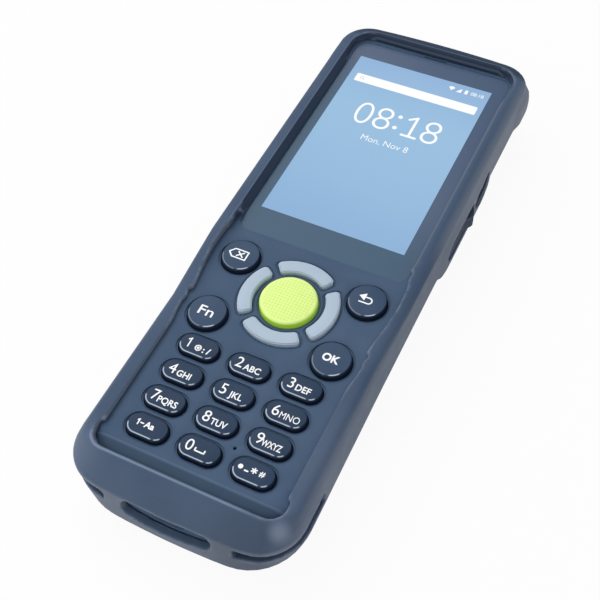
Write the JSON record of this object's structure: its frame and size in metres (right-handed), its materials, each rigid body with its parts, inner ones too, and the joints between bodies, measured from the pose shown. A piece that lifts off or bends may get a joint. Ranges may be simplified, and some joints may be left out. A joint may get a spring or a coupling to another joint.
{
  "type": "portable barcode data terminal",
  "caption": "Rubber-booted handheld data terminal with a portrait screen, an oval-key number pad, round function keys, arrow arcs round a scan key, side triggers and a rear battery lid.",
  "frame": {"origin": "middle of the footprint, on the plane of the boot's back", "axes": "+Z out of the screen, +Y to the scanning end, +X to the right of the keys"},
  "size_m": [0.0702, 0.1912, 0.0234],
  "materials": {
    "boot_rubber": "matte moulded rubber",
    "case_plastic": "fine-textured moulded plastic",
    "key_plastic": "satin to glossy moulded keys with printed white legends",
    "arrow_plastic": "light blue-grey moulded keys",
    "scan_plastic": "lime green with a fine raised grid",
    "cover_glass": "clear glass with a printed border",
    "lit_screen": "lit display",
    "black_rubber": "soft black silicone",
    "sheet_steel": "plain sheet steel",
    "screw_steel": "zinc-plated steel",
    "board_laminate": "green solder mask",
    "flex_film": "amber film with copper tracks",
    "gold_plate": "gold plated",
    "black_plastic": "plain black plastic",
    "dark_window": "black-printed clear window",
    "scan_window_red": "dark red filter window",
    "battery_wrap": "dark grey pack"
  },
  "bodies": {
    "terminal": {"front_housing": "case_plastic", "rear_housing": "case_plastic", "boot": "boot_rubber", "housing_gasket": "black_rubber", "cover_glass": "cover_glass", "lcd_panel": "lit_screen", "lcd_frame": "sheet_steel", "display_flex": "flex_film", "keypad_mat": "black_rubber", "dome_sheet": "sheet_steel", "main_board": "board_laminate", "shield_cans": "sheet_steel", "side_switches": "black_plastic", "scan_window": "scan_window_red", "scan_engine": "black_plastic", "engine_bracket": "sheet_steel", "camera_module": "black_plastic", "camera_window": "dark_window", "speaker": "black_plastic", "earpiece": "black_plastic", "microphone": "sheet_steel", "vibration_motor": "sheet_steel", "usb_connector": "sheet_steel", "dock_contacts": "gold_plate", "battery_contacts": "gold_plate", "card_holder": "sheet_steel", "antenna": "flex_film", "housing_screws": "screw_steel", "board_screws": "screw_steel", "strap_pins": "screw_steel"},
    "key_1": {"key_1": "key_plastic"},
    "key_2": {"key_2": "key_plastic"},
    "key_3": {"key_3": "key_plastic"},
    "key_4": {"key_4": "key_plastic"},
    "key_5": {"key_5": "key_plastic"},
    "key_6": {"key_6": "key_plastic"},
    "key_7": {"key_7": "key_plastic"},
    "key_8": {"key_8": "key_plastic"},
    "key_9": {"key_9": "key_plastic"},
    "key_mode": {"key_mode": "key_plastic"},
    "key_0": {"key_0": "key_plastic"},
    "key_symbols": {"key_symbols": "key_plastic"},
    "key_backspace": {"key_backspace": "key_plastic"},
    "key_return": {"key_return": "key_plastic"},
    "key_fn": {"key_fn": "key_plastic"},
    "key_ok": {"key_ok": "key_plastic"},
    "nav_up": {"nav_up": "arrow_plastic"},
    "nav_down": {"nav_down": "arrow_plastic"},
    "nav_left": {"nav_left": "arrow_plastic"},
    "nav_right": {"nav_right": "arrow_plastic"},
    "key_scan": {"key_scan": "scan_plastic"},
    "power_key": {"power_key": "key_plastic"},
    "trigger_right": {"trigger_right": "key_plastic"},
    "trigger_left": {"trigger_left": "key_plastic"},
    "battery_lid": {"battery_cover": "case_plastic", "battery_pack": "battery_wrap", "cover_seal": "black_rubber"},
    "latch": {"battery_latch": "key_plastic"}
  },
  "joints": [
    {"name": "key_1_press", "type": "slide", "parent": "terminal", "child": "key_1", "axis": [0, 0, -1], "range_m": [0, 0.0006], "stiffness_N_per_m": 300},
    {"name": "key_2_press", "type": "slide", "parent": "terminal", "child": "key_2", "axis": [0, 0, -1], "range_m": [0, 0.0006], "stiffness_N_per_m": 300},
    {"name": "key_3_press", "type": "slide", "parent": "terminal", "child": "key_3", "axis": [0, 0, -1], "range_m": [0, 0.0006], "stiffness_N_per_m": 300},
    {"name": "key_4_press", "type": "slide", "parent": "terminal", "child": "key_4", "axis": [0, 0, -1], "range_m": [0, 0.0006], "stiffness_N_per_m": 300},
    {"name": "key_5_press", "type": "slide", "parent": "terminal", "child": "key_5", "axis": [0, 0, -1], "range_m": [0, 0.0006], "stiffness_N_per_m": 300},
    {"name": "key_6_press", "type": "slide", "parent": "terminal", "child": "key_6", "axis": [0, 0, -1], "range_m": [0, 0.0006], "stiffness_N_per_m": 300},
    {"name": "key_7_press", "type": "slide", "parent": "terminal", "child": "key_7", "axis": [0, 0, -1], "range_m": [0, 0.0006], "stiffness_N_per_m": 300},
    {"name": "key_8_press", "type": "slide", "parent": "terminal", "child": "key_8", "axis": [0, 0, -1], "range_m": [0, 0.0006], "stiffness_N_per_m": 300},
    {"name": "key_9_press", "type": "slide", "parent": "terminal", "child": "key_9", "axis": [0, 0, -1], "range_m": [0, 0.0006], "stiffness_N_per_m": 300},
    {"name": "key_mode_press", "type": "slide", "parent": "terminal", "child": "key_mode", "axis": [0, 0, -1], "range_m": [0, 0.0006], "stiffness_N_per_m": 300},
    {"name": "key_0_press", "type": "slide", "parent": "terminal", "child": "key_0", "axis": [0, 0, -1], "range_m": [0, 0.0006], "stiffness_N_per_m": 300},
    {"name": "key_symbols_press", "type": "slide", "parent": "terminal", "child": "key_symbols", "axis": [0, 0, -1], "range_m": [0, 0.0006], "stiffness_N_per_m": 300},
    {"name": "key_backspace_press", "type": "slide", "parent": "terminal", "child": "key_backspace", "axis": [0, 0, -1], "range_m": [0, 0.0006], "stiffness_N_per_m": 300},
    {"name": "key_return_press", "type": "slide", "parent": "terminal", "child": "key_return", "axis": [0, 0, -1], "range_m": [0, 0.0006], "stiffness_N_per_m": 300},
    {"name": "key_fn_press", "type": "slide", "parent": "terminal", "child": "key_fn", "axis": [0, 0, -1], "range_m": [0, 0.0006], "stiffness_N_per_m": 300},
    {"name": "key_ok_press", "type": "slide", "parent": "terminal", "child": "key_ok", "axis": [0, 0, -1], "range_m": [0, 0.0006], "stiffness_N_per_m": 300},
    {"name": "nav_up_press", "type": "slide", "parent": "terminal", "child": "nav_up", "axis": [0, 0, -1], "range_m": [0, 0.0006], "stiffness_N_per_m": 300},
    {"name": "nav_down_press", "type": "slide", "parent": "terminal", "child": "nav_down", "axis": [0, 0, -1], "range_m": [0, 0.0006], "stiffness_N_per_m": 300},
    {"name": "nav_left_press", "type": "slide", "parent": "terminal", "child": "nav_left", "axis": [0, 0, -1], "range_m": [0, 0.0006], "stiffness_N_per_m": 300},
    {"name": "nav_right_press", "type": "slide", "parent": "terminal", "child": "nav_right", "axis": [0, 0, -1], "range_m": [0, 0.0006], "stiffness_N_per_m": 300},
    {"name": "key_scan_press", "type": "slide", "parent": "terminal", "child": "key_scan", "axis": [0, 0, -1], "range_m": [0, 0.0006], "stiffness_N_per_m": 300},
    {"name": "power_key_press", "type": "slide", "parent": "terminal", "child": "power_key", "axis": [-1, 0, 0], "range_m": [0, 0.0005], "stiffness_N_per_m": 300},
    {"name": "trigger_right_press", "type": "slide", "parent": "terminal", "child": "trigger_right", "axis": [-1, 0, 0], "range_m": [0, 0.0005], "stiffness_N_per_m": 300},
    {"name": "trigger_left_press", "type": "slide", "parent": "terminal", "child": "trigger_left", "axis": [1, 0, 0], "range_m": [0, 0.0005], "stiffness_N_per_m": 300},
    {"name": "battery_lid_hinge", "type": "hinge", "parent": "terminal", "child": "battery_lid", "pos_m": [0, -0.0772, 0.0028], "axis": [-1, 0, 0], "range_deg": [0, 60]},
    {"name": "latch_slide", "type": "slide", "parent": "terminal", "child": "latch", "axis": [0, 1, 0], "range_m": [0, 0.0025]}
  ]
}
